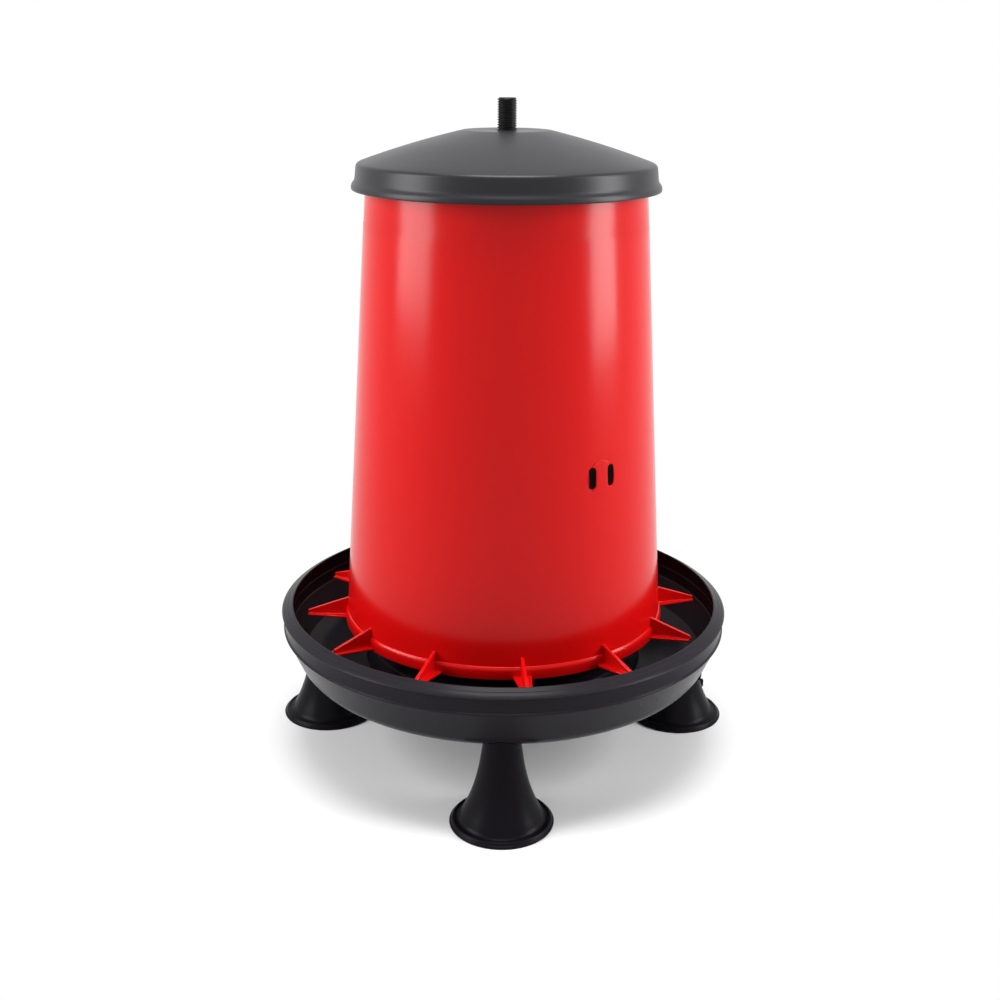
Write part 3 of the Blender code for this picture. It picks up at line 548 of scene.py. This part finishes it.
class FEEDER_OT_feet(bpy.types.Operator):
    """Builds the three trumpet feet and trims their necks to the pan"""
    bl_idname = "feeder.feet"
    bl_label = "Feet"

    def execute(self, context):
        sizes = context.scene.feeder_pan
        top = NECK_Z + 14.0 * MM
        flange = sizes.flange_radius
        web = PAN_BOTTOM - PEG_LENGTH - GAP - FOOT_WALL
        outer, inner = [(NECK_R, top, 0.0)], []
        steps = 24
        for step in range(steps + 1):
            z = NECK_Z + (BELL_FOOT_Z - NECK_Z) * step / steps
            outer.append((bell(z), z, 0.0))
            if z < web and step < steps:
                inner.append((bell(z) - FOOT_WALL, z - FOOT_WALL / 2, 0.0))
        outer += [
            (flange - 8.8 * MM, 6.6 * MM, 1.2 * MM),
            (flange - 6.8 * MM, 4.4 * MM, 1.2 * MM),
            (flange - 5.0 * MM, 4.3 * MM, 0.6 * MM),
            (flange - 3.8 * MM, 5.2 * MM, 0.7 * MM),
            (flange - 2.2 * MM, 4.4 * MM, 0.8 * MM),
            (flange - 1.4 * MM, 2.7 * MM, 0.5 * MM),
            (flange - 0.4 * MM, 2.3 * MM, 0.5 * MM),
            (flange, 1.0 * MM, 0.5 * MM),
            (flange - 0.5 * MM, 0.0, 0.2 * MM),
            (flange - 3.5 * MM, 0.0, 0.3 * MM),
            (flange - 5.5 * MM, 1.8 * MM, 0.6 * MM),
            (flange - 11.6 * MM, 2.4 * MM, 0.8 * MM),
        ]
        inner.reverse()
        socket = 7.3 * MM
        corners = outer + inner + [
            (inner[-1][0], web, 0.6 * MM), (socket, web, 0.3 * MM), (socket, top, 0.0)]
        form = pan_outside(sizes.rim_radius, GAP)
        above = [(PEG_R, PAN_BOTTOM - GAP, 0.0), (PEG_R, PAN_EDGE, 0.0)]
        shade = plastic("foot_black_plastic", sizes.foot_tint, 0.32, specular=0.05, grain_height=0.03)
        for name, place in FOOT_AZIMUTHS.items():
            centre = AXIS + polar(FOOT_CIRCLE, place)
            foot = as_object(name + "_trumpet", turned(corners, NECK, Vector((0, 0, 0))))
            catch = catch_block(proud=3.2 * MM, width=11.0 * MM, height=9.0 * MM, azimuth=-14.0, z=43.0 * MM)
            hook = catch_block(proud=2.6 * MM, width=4.0 * MM, height=8.0 * MM, azimuth=10.0, z=29.0 * MM)
            combine(foot, [catch, hook, stud(z=33.0 * MM, azimuth=-85.0)], "UNION")
            foot.data.transform(Matrix.Translation(centre) @ upright(FOOT_TURNS[name]).to_4x4())
            combine(foot, [turned(form + above, ROUND)], "DIFFERENCE")
            finish_piece(foot, "base", name, shade)
        return {"FINISHED"}


# Stem and nuts
class FEEDER_OT_stem(bpy.types.Operator):
    """Builds the threaded stem with its flat and its head"""
    bl_idname = "feeder.stem"
    bl_label = "Threaded stem"

    def execute(self, context):
        sizes = context.scene.feeder_stem
        head, head_r = STEM_LOW.z + 4.0 * MM, 17.0 * MM
        chamfer = 1.3 * MM
        pitch, root = sizes.pitch, STEM_R - sizes.depth
        bm = bmesh.new()
        profile(bm, [(root, 0.0, 0.0), (root, pitch * 0.14, 0.0), (STEM_R, pitch * 0.46, 0.0),
                     (STEM_R, pitch * 0.68, 0.0), (root, pitch, 0.0)], closed=False)
        thread = as_object("thread", bm)
        screw = thread.modifiers.new("screw", "SCREW")
        screw.iterations = math.ceil((STEM_HIGH.z - head) / pitch) + 2
        screw.steps = screw.render_steps = 28
        screw.screw_offset = pitch
        bm = bmesh.new()
        bm.from_object(thread, context.evaluated_depsgraph_get())
        bpy.data.objects.remove(thread, do_unlink=True)
        bmesh.ops.remove_doubles(bm, verts=bm.verts, dist=0.00002)
        bmesh.ops.translate(bm, verts=bm.verts, vec=(0, 0, head - pitch))
        facing = upright(sizes.flat_azimuth) @ Vector((1, 0, 0))
        cuts = ((Vector((0, 0, head - 1 * MM)), (0, 0, -1)),
                (Vector((0, 0, STEM_HIGH.z)), (0, 0, 1)),
                (facing * (STEM_R - sizes.flat_depth), facing))
        for place, normal in cuts:
            bmesh.ops.bisect_plane(bm, geom=bm.verts[:] + bm.edges[:] + bm.faces[:], dist=0.000001,
                                   plane_co=place, plane_no=normal, clear_outer=True)
            bmesh.ops.holes_fill(bm, edges=[e for e in bm.edges if e.is_boundary], sides=0)
        for vert in bm.verts:
            reach = STEM_R + min(0.0, STEM_HIGH.z - chamfer - vert.co.z)
            out = vert.co.xy.length
            if out > reach:
                vert.co.xy *= reach / out
        bmesh.ops.translate(bm, verts=bm.verts, vec=AXIS)
        add(bm, turned([(0.0, head, 0.0), (head_r, head, 0.5 * MM), (head_r, STEM_LOW.z, 0.8 * MM),
                        (0.0, STEM_LOW.z, 0.0)], NECK, closed=False))
        bmesh.ops.recalc_face_normals(bm, faces=bm.faces)
        stem = as_object("threaded_stem", bm)
        shade = plastic("stem_black_plastic", sizes.tint, 0.36, specular=0.08, grain_height=0.04)
        finish_piece(stem, "base", "stem", shade, 25.0)
        return {"FINISHED"}


class FEEDER_OT_nuts(bpy.types.Operator):
    """Builds the nut that clamps the stem to the pan and the hand nut under the crossbar"""
    bl_idname = "feeder.nuts"
    bl_label = "Nuts"

    def execute(self, context):
        sizes = context.scene.feeder_stem
        shade = plastic("nut_black_plastic", sizes.tint, 0.42, specular=0.1)
        low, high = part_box("pan_nut")
        bm = rod((high.y - low.y) / 2, low.z, high.z, 6)
        round_edges(bm, bm.edges[:], 0.8 * MM, 2)
        hexagon = as_object("clamp_nut", bm)
        combine(hexagon, [rod(STEM_BORE, low.z - 1 * MM, high.z + 1 * MM, 48)], "DIFFERENCE")
        finish_piece(hexagon, "base", "pan_nut", shade)
        low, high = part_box("adjusting_nut")
        plate = high.z - 3.0 * MM
        collar_r, wheel_r = 12.0 * MM, 20.0 * MM
        wheel = as_object("hand_nut", turned([
            (collar_r, high.z, 0.6 * MM),
            (collar_r, plate, 0.5 * MM),
            (wheel_r, plate, 1.2 * MM),
            (wheel_r, low.z, 1.2 * MM),
            (STEM_BORE, low.z, 0.4 * MM),
            (STEM_BORE, high.z, 0.4 * MM),
        ], NECK))
        scallops = [rod(5.0 * MM, low.z - 1 * MM, plate + 1 * MM, 24, AXIS + polar(22.75 * MM, 45.0 * k))
                    for k in range(8)]
        combine(wheel, scallops, "DIFFERENCE")
        finish_piece(wheel, "adjusting_nut", "adjusting_nut", shade)
        return {"FINISHED"}


# Hopper
def hopper_r(z):
    """Outside radius of the hopper at a height."""
    return HOPPER_FOOT_R - (z - HOPPER_LOW.z) * HOPPER_TAPER


def tooth_end(bm, reach, width, foot, ridge):
    """Draws one end of a tooth, an upright web on a flat plate, and gives its edges."""
    half, web, plate = width / 2, TOOTH_WEB / 2, foot + TOOTH_PLATE
    outline = ((-half, foot), (-half, plate), (-web, plate), (-web, ridge),
               (web, ridge), (web, plate), (half, plate), (half, foot))
    end = bm.faces.new([bm.verts.new((reach, y, HOPPER_LOW.z + z)) for y, z in outline])
    return end.edges[:]


def tooth(tip, azimuth):
    """A bmesh of one tooth, from inside the hopper's wall to its tip."""
    bm = bmesh.new()
    root = HOPPER_FOOT_R - HOPPER_WALL * 0.7
    edges = tooth_end(bm, root, width=16.0 * MM, foot=1.5 * MM, ridge=19.2 * MM)
    edges += tooth_end(bm, tip, width=8.4 * MM, foot=3.9 * MM, ridge=8.2 * MM)
    bmesh.ops.bridge_loops(bm, edges=edges)
    bmesh.ops.recalc_face_normals(bm, faces=bm.faces)
    round_edges(bm, bm.edges[:], 0.45 * MM, 3)
    put_round_stem(bm, azimuth)
    return bm


def corners_outside(bm, margin):
    """The corner edges of a bmesh that lie further out than the hopper's wall by a margin."""
    return [edge for edge in bm.edges if len(edge.link_faces) == 2 and edge.calc_face_angle() > CORNER
            and min((v.co - AXIS).xy.length - hopper_r(v.co.z) for v in edge.verts) > margin]


def slot_boss():
    """A bmesh of the round, low boss that the hopper's front slots are cut through."""
    bm = bmesh.new()
    bmesh.ops.create_cone(bm, cap_ends=True, segments=96, radius1=BOSS_R, radius2=BOSS_R, depth=30.0 * MM)
    bmesh.ops.rotate(bm, verts=bm.verts, cent=(0, 0, 0), matrix=Matrix.Rotation(math.pi / 2, 3, "Y"))
    bmesh.ops.translate(bm, verts=bm.verts, vec=(hopper_r(SLOT_Z), 0, 0))
    put_round_stem(bm, SLOT_AZIMUTH, SLOT_Z)
    boss = as_object("boss", bm)
    reach = BOSS_R + 4.0 * MM
    low, high = SLOT_Z - reach, SLOT_Z + reach
    outside = bowed((hopper_r(low) + BOSS_PROUD, low), (hopper_r(high) + BOSS_PROUD, high), 0.0, 8)
    inside = [(hopper_r(high) - HOPPER_WALL / 2, high, 0.0), (hopper_r(low) - HOPPER_WALL / 2, low, 0.0)]
    combine(boss, [turned(outside + inside, ROUND)], "INTERSECT")
    bm = bmesh.new()
    bm.from_mesh(boss.data)
    bpy.data.objects.remove(boss, do_unlink=True)
    round_edges(bm, corners_outside(bm, 0.0), BOSS_PROUD * 0.9, 4)
    return bm


def soften_slots(hopper):
    """Rounds the outer edges of the slots, which catch the light."""
    bm = bmesh.new()
    bm.from_mesh(hopper.data)
    rim = [edge for edge in corners_outside(bm, -0.05 * MM)
           if all(abs(v.co.z - SLOT_Z) < 10.0 * MM for v in edge.verts)]
    round_edges(bm, rim, 0.45 * MM, 3)
    bm.to_mesh(hopper.data)
    bm.free()


class FEEDER_OT_hopper(bpy.types.Operator):
    """Builds the tapered hopper with its ledge, teeth and slots"""
    bl_idname = "feeder.hopper"
    bl_label = "Hopper"

    def execute(self, context):
        sizes = context.scene.feeder_hopper
        foot, top = HOPPER_LOW.z, HOPPER_HIGH.z
        ledge = foot + 11.1 * MM
        rim = top - 4.5 * MM
        rim_r = hopper_r(rim) + 4.0 * MM
        mouth = 117.5 * MM
        line = HOPPER_LINE
        outer_wall = bowed((hopper_r(line) + 0.25 * MM, line - 0.5 * MM), (hopper_r(ledge), ledge),
                           0.0, HOPPER_RINGS)
        inner_wall = bowed((HOPPER_FOOT_R - HOPPER_WALL, foot), (hopper_r(top) - HOPPER_WALL, top),
                           0.0, HOPPER_RINGS)
        hopper = as_object("hopper_shell", turned([
            (mouth, top, 0.3 * MM),
            (rim_r, top - 2.0 * MM, 0.6 * MM),
            (rim_r, rim, 0.8 * MM),
            (hopper_r(rim), rim, 0.8 * MM),
            (hopper_r(line), line, 0.0),
        ] + outer_wall + [
            (hopper_r(ledge) + 0.7 * MM, ledge - 0.2 * MM, 0.3 * MM),
            (sizes.ledge_radius, ledge - 2.8 * MM, 1.4 * MM),
            (sizes.ledge_radius, foot, 0.8 * MM),
        ] + inner_wall, ROUND))
        teeth = [tooth(sizes.tooth_tip, sizes.tooth_azimuth + 360.0 * k / sizes.teeth)
                 for k in range(sizes.teeth)]
        combine(hopper, teeth + [slot_boss()], "UNION")
        wall = hopper_r(SLOT_Z)
        combine(hopper, slot_row(SLOT_WIDTH, SLOT_HEIGHT, wall - 9.0 * MM, wall + 7.0 * MM), "DIFFERENCE")
        soften_slots(hopper)
        shade = plastic("hopper_red_plastic", sizes.tint, 0.2, specular=0.2, grain_height=0.03, cloud=0.05)
        finish_piece(hopper, "hopper_unit", "hopper", shade)
        return {"FINISHED"}


class FEEDER_OT_crossbar(bpy.types.Operator):
    """Builds the crossbar that carries the hopper on the stem"""
    bl_idname = "feeder.crossbar"
    bl_label = "Crossbar"

    def execute(self, context):
        sizes = context.scene.feeder_stem
        top = SLOT_Z + SLOT_HEIGHT / 2 - GAP
        tip = hopper_r(SLOT_Z) - 0.4 * MM
        offset = hopper_r(SLOT_Z) * math.sin(math.radians(SLOT_APART / 2))
        reach = math.sqrt((hopper_r(top) - HOPPER_WALL - GAP) ** 2 - (offset + 3.0 * MM) ** 2) - 1.0 * MM
        plate, plate_h, rib_h = top - 0.5 * MM, 3.0 * MM, 12.5 * MM
        rib_z = plate - 0.5 * MM - rib_h / 2
        bar = as_object("hopper_crossbar", rod(15.0 * MM, top - 17.0 * MM, top + 3.0 * MM, NECK))
        parts = [block((2 * reach, 2 * offset + 3.5 * MM, plate_h), (0, 0, plate - plate_h / 2),
                       SLOT_AZIMUTH)]
        parts += [block((2 * reach - 1.0 * MM, 3.0 * MM, rib_h), (0, side * offset, rib_z), SLOT_AZIMUTH)
                  for side in (-1, 1)]
        parts += slot_row(SLOT_WIDTH - 0.4 * MM, SLOT_HEIGHT - 0.4 * MM, tip - 10.0 * MM, tip)
        combine(bar, parts, "UNION")
        combine(bar, [rod(STEM_BORE, top - 20.0 * MM, top + 6.0 * MM, 48)], "DIFFERENCE")
        # Black plastic darkened to a tenth of the stem's colour, with a low specular: painted shade, so that
        # the tips in the slots look like dark holes.
        shade = plastic("crossbar_black_and_painted_shade_plastic", [part * 0.1 for part in sizes.tint], 0.45, specular=0.02)
        finish_piece(bar, "hopper_unit", "crossbar", shade)
        return {"FINISHED"}


# Lid
class FEEDER_OT_lid(bpy.types.Operator):
    """Builds the domed lid with its shoulder, skirt and flared lip"""
    bl_idname = "feeder.lid"
    bl_label = "Lid"

    def execute(self, context):
        sizes = context.scene.feeder_lid
        top, lip = LID_HIGH.z, LID_LOW.z
        wall, bore = 2.4 * MM, 9.0 * MM
        shoulder = top - 25.2 * MM
        skirt = top - 39.6 * MM
        cone_r, shoulder_r, skirt_r = 120.5 * MM, 124.2 * MM, 125.6 * MM
        slope = (top - shoulder) / (cone_r - sizes.top_radius)
        lean = math.hypot(1.0, slope)
        cone = bowed((sizes.top_radius, top), (cone_r, shoulder), sizes.crown, 10)
        cone[0] = (sizes.top_radius, top, 1.0 * MM)
        corners = [(bore, top, 0.5 * MM)] + cone + [
            (shoulder_r, shoulder - 1.6 * MM, 2.2 * MM),
            (skirt_r, skirt, 1.6 * MM),
            (sizes.lip_radius, skirt - 4.0 * MM, 1.6 * MM),
            (sizes.lip_radius, lip, 0.8 * MM),
            (sizes.lip_radius - wall, lip, 0.8 * MM),
            (sizes.lip_radius - wall, skirt - 4.6 * MM, 1.2 * MM),
            (skirt_r - wall, skirt - 0.6 * MM, 1.2 * MM),
            (shoulder_r - wall, shoulder - 1.6 * MM - wall, 0.8 * MM),
            (cone_r - wall * slope, shoulder - wall * lean, 0.8 * MM),
            (sizes.top_radius, top - wall * lean, 0.8 * MM),
            (bore, top - wall * lean, 0.4 * MM),
        ]
        lid = as_object("lid_shell", turned(corners, ROUND))
        shade = plastic("lid_charcoal_plastic", sizes.tint, 0.34, specular=0.22, grain_height=0.06,
                        gloss_change=0.08)
        finish_piece(lid, "hopper_unit", "lid", shade)
        return {"FINISHED"}


# Stage
FLOOR_SIZE = 8.0             # from the middle to each side
FLOOR_GREY = 0.55            # as the rays that light the feeder meet it
FLOOR_FADE = 0.28            # distance from the middle where it has turned plain white
LAMP_REACH = 1.35            # from the stem to the side lamps
LAMP_HEIGHT = 1.2
CAMERA_BACK = 1.1330         # in front of the stem
CAMERA_HEIGHT = 0.6052
CAMERA_PITCH = 17.594        # degrees below level
CAMERA_ROLL = 0.4626         # degrees


def lamp(name, place, aim, size, power):
    """A rectangular soft lamp that faces a point."""
    data = bpy.data.lights.new(name, "AREA")
    data.shape = "RECTANGLE"
    data.size, data.size_y = size
    data.energy = power
    made = bpy.data.objects.new(name, data)
    bpy.context.scene.collection.objects.link(made)
    made.location = place
    made.rotation_euler = (Vector(aim) - Vector(place)).to_track_quat("-Z", "Y").to_euler()


def background_rays(tree):
    """A value of one for the rays that show the background: camera, glossy and transmission."""
    path = tree.nodes.new("ShaderNodeLightPath")
    shown = path.outputs["Is Camera Ray"]
    for name in ("Is Glossy Ray", "Is Transmission Ray"):
        shown = calculate(tree, "MAXIMUM", shown, path.outputs[name])
    return shown


def floor_material(tint):
    """A pale floor that keeps the shadow and shows plain white away from the feeder."""
    made = bpy.data.materials.new("stage_floor")
    made.use_nodes = True
    nodes, links = made.node_tree.nodes, made.node_tree.links
    nodes.remove(nodes["Principled BSDF"])
    background = background_rays(made.node_tree)
    pick = nodes.new("ShaderNodeMix")
    pick.data_type = "RGBA"
    pick.inputs["A"].default_value = (FLOOR_GREY, FLOOR_GREY, FLOOR_GREY, 1.0)
    pick.inputs["B"].default_value = (*tint, 1.0)
    links.new(background, pick.inputs["Factor"])
    matt = nodes.new("ShaderNodeBsdfDiffuse")
    links.new(pick.outputs["Result"], matt.inputs["Color"])
    plain = nodes.new("ShaderNodeEmission")
    place = nodes.new("ShaderNodeTexCoord")
    far = nodes.new("ShaderNodeVectorMath")
    far.operation = "LENGTH"
    links.new(place.outputs["Object"], far.inputs[0])
    fade = nodes.new("ShaderNodeMapRange")
    fade.interpolation_type = "SMOOTHSTEP"
    fade.inputs["From Min"].default_value = FLOOR_FADE * 0.55
    fade.inputs["From Max"].default_value = FLOOR_FADE
    links.new(far.outputs["Value"], fade.inputs["Value"])
    seen = calculate(made.node_tree, "MULTIPLY", fade.outputs["Result"], background)
    blend = nodes.new("ShaderNodeMixShader")
    links.new(seen, blend.inputs["Fac"])
    links.new(matt.outputs[0], blend.inputs[1])
    links.new(plain.outputs[0], blend.inputs[2])
    links.new(blend.outputs[0], nodes["Material Output"].inputs["Surface"])
    return made


class FEEDER_OT_stage(bpy.types.Operator):
    """Sets the floor, the soft lamps, the white surroundings and the camera"""
    bl_idname = "feeder.stage"
    bl_label = "Stage"

    def execute(self, context):
        scene = context.scene
        sizes = scene.feeder_stage
        bm = bmesh.new()
        bmesh.ops.create_grid(bm, x_segments=1, y_segments=1, size=FLOOR_SIZE)
        floor = as_object("stage_floor", bm)
        floor.data.materials.append(floor_material(sizes.floor_tint))

        for name, around, height, breadth in (
                ("left_lamp", -163.0, 0.90, 0.72),
                ("right_lamp", -12.0, 0.84, 0.56)):
            place = AXIS + polar(LAMP_REACH, around) + Vector((0, 0, height))
            lamp(name, place, (AXIS.x, AXIS.y, place.z), (breadth, LAMP_HEIGHT), sizes.side_power)
        lamp("top_lamp", (0.0, -0.1, 2.0), (0.0, 0.0, 0.0), (0.9, 0.9), sizes.top_power)

        world = bpy.data.worlds.new("surroundings")
        world.use_nodes = True
        nodes, links = world.node_tree.nodes, world.node_tree.links
        place = nodes.new("ShaderNodeTexCoord")
        parts = nodes.new("ShaderNodeSeparateXYZ")
        links.new(place.outputs["Generated"], parts.inputs[0])
        wall = nodes.new("ShaderNodeMapRange")
        wall.interpolation_type = "SMOOTHSTEP"
        for name, value in (("From Min", -0.2), ("From Max", 0.6), ("To Min", 0.20), ("To Max", 0.16)):
            wall.inputs[name].default_value = value
        links.new(parts.outputs["Y"], wall.inputs["Value"])
        shown = background_rays(world.node_tree)
        level = calculate(world.node_tree, "MAXIMUM", shown, wall.outputs["Result"])
        links.new(level, nodes["Background"].inputs["Strength"])
        nodes["Background"].inputs["Color"].default_value = (1.0, 1.0, 1.0, 1.0)
        scene.world = world

        data = bpy.data.cameras.new("camera")
        data.sensor_width = 36.0
        data.lens = 48.262
        data.shift_x = -0.00428
        data.shift_y = -0.02544
        data.clip_start = 0.01
        camera = bpy.data.objects.new("camera", data)
        scene.collection.objects.link(camera)
        camera.matrix_world = (Matrix.Translation((AXIS.x, AXIS.y - CAMERA_BACK, CAMERA_HEIGHT))
                               @ Matrix.Rotation(math.radians(90.0 - CAMERA_PITCH), 4, "X")
                               @ Matrix.Rotation(math.radians(CAMERA_ROLL), 4, "Z"))
        scene.camera = camera
        scene.view_settings.view_transform = "Standard"
        return {"FINISHED"}


PIECES = (FEEDER_OT_pan, FEEDER_OT_feet, FEEDER_OT_stem, FEEDER_OT_nuts, FEEDER_OT_hopper,
          FEEDER_OT_crossbar, FEEDER_OT_lid, FEEDER_OT_stage)
SETTINGS = {"feeder_pan": FeederPanSettings, "feeder_stem": FeederStemSettings,
            "feeder_hopper": FeederHopperSettings, "feeder_lid": FeederLidSettings,
            "feeder_stage": FeederStageSettings}


class FEEDER_PT_panel(bpy.types.Panel):
    """Lists the feeder's pieces and their settings"""
    bl_label = "Hopper feeder"
    bl_idname = "FEEDER_PT_panel"
    bl_space_type = "VIEW_3D"
    bl_region_type = "UI"
    bl_category = "Feeder"

    def draw(self, context):
        for piece in PIECES:
            self.layout.operator(piece.bl_idname)
        for name, group in SETTINGS.items():
            box = self.layout.box()
            for field in group.__annotations__:
                box.prop(getattr(context.scene, name), field)


def register():
    """Adds the settings, the operators and the panel to Blender."""
    for name, group in SETTINGS.items():
        bpy.utils.register_class(group)
        setattr(bpy.types.Scene, name, bpy.props.PointerProperty(type=group))
    for piece in PIECES:
        bpy.utils.register_class(piece)
    bpy.utils.register_class(FEEDER_PT_panel)


def unregister():
    """Takes the panel, the operators and the settings away again."""
    bpy.utils.unregister_class(FEEDER_PT_panel)
    for piece in reversed(PIECES):
        bpy.utils.unregister_class(piece)
    for name, group in SETTINGS.items():
        delattr(bpy.types.Scene, name)
        bpy.utils.unregister_class(group)


def main():
    """Builds all the pieces and the stage."""
    register()
    bpy.ops.feeder.pan()
    bpy.ops.feeder.feet()
    bpy.ops.feeder.stem()
    bpy.ops.feeder.nuts()
    bpy.ops.feeder.hopper()
    bpy.ops.feeder.crossbar()
    bpy.ops.feeder.lid()
    bpy.ops.feeder.stage()


if __name__ == "__main__":
    main()
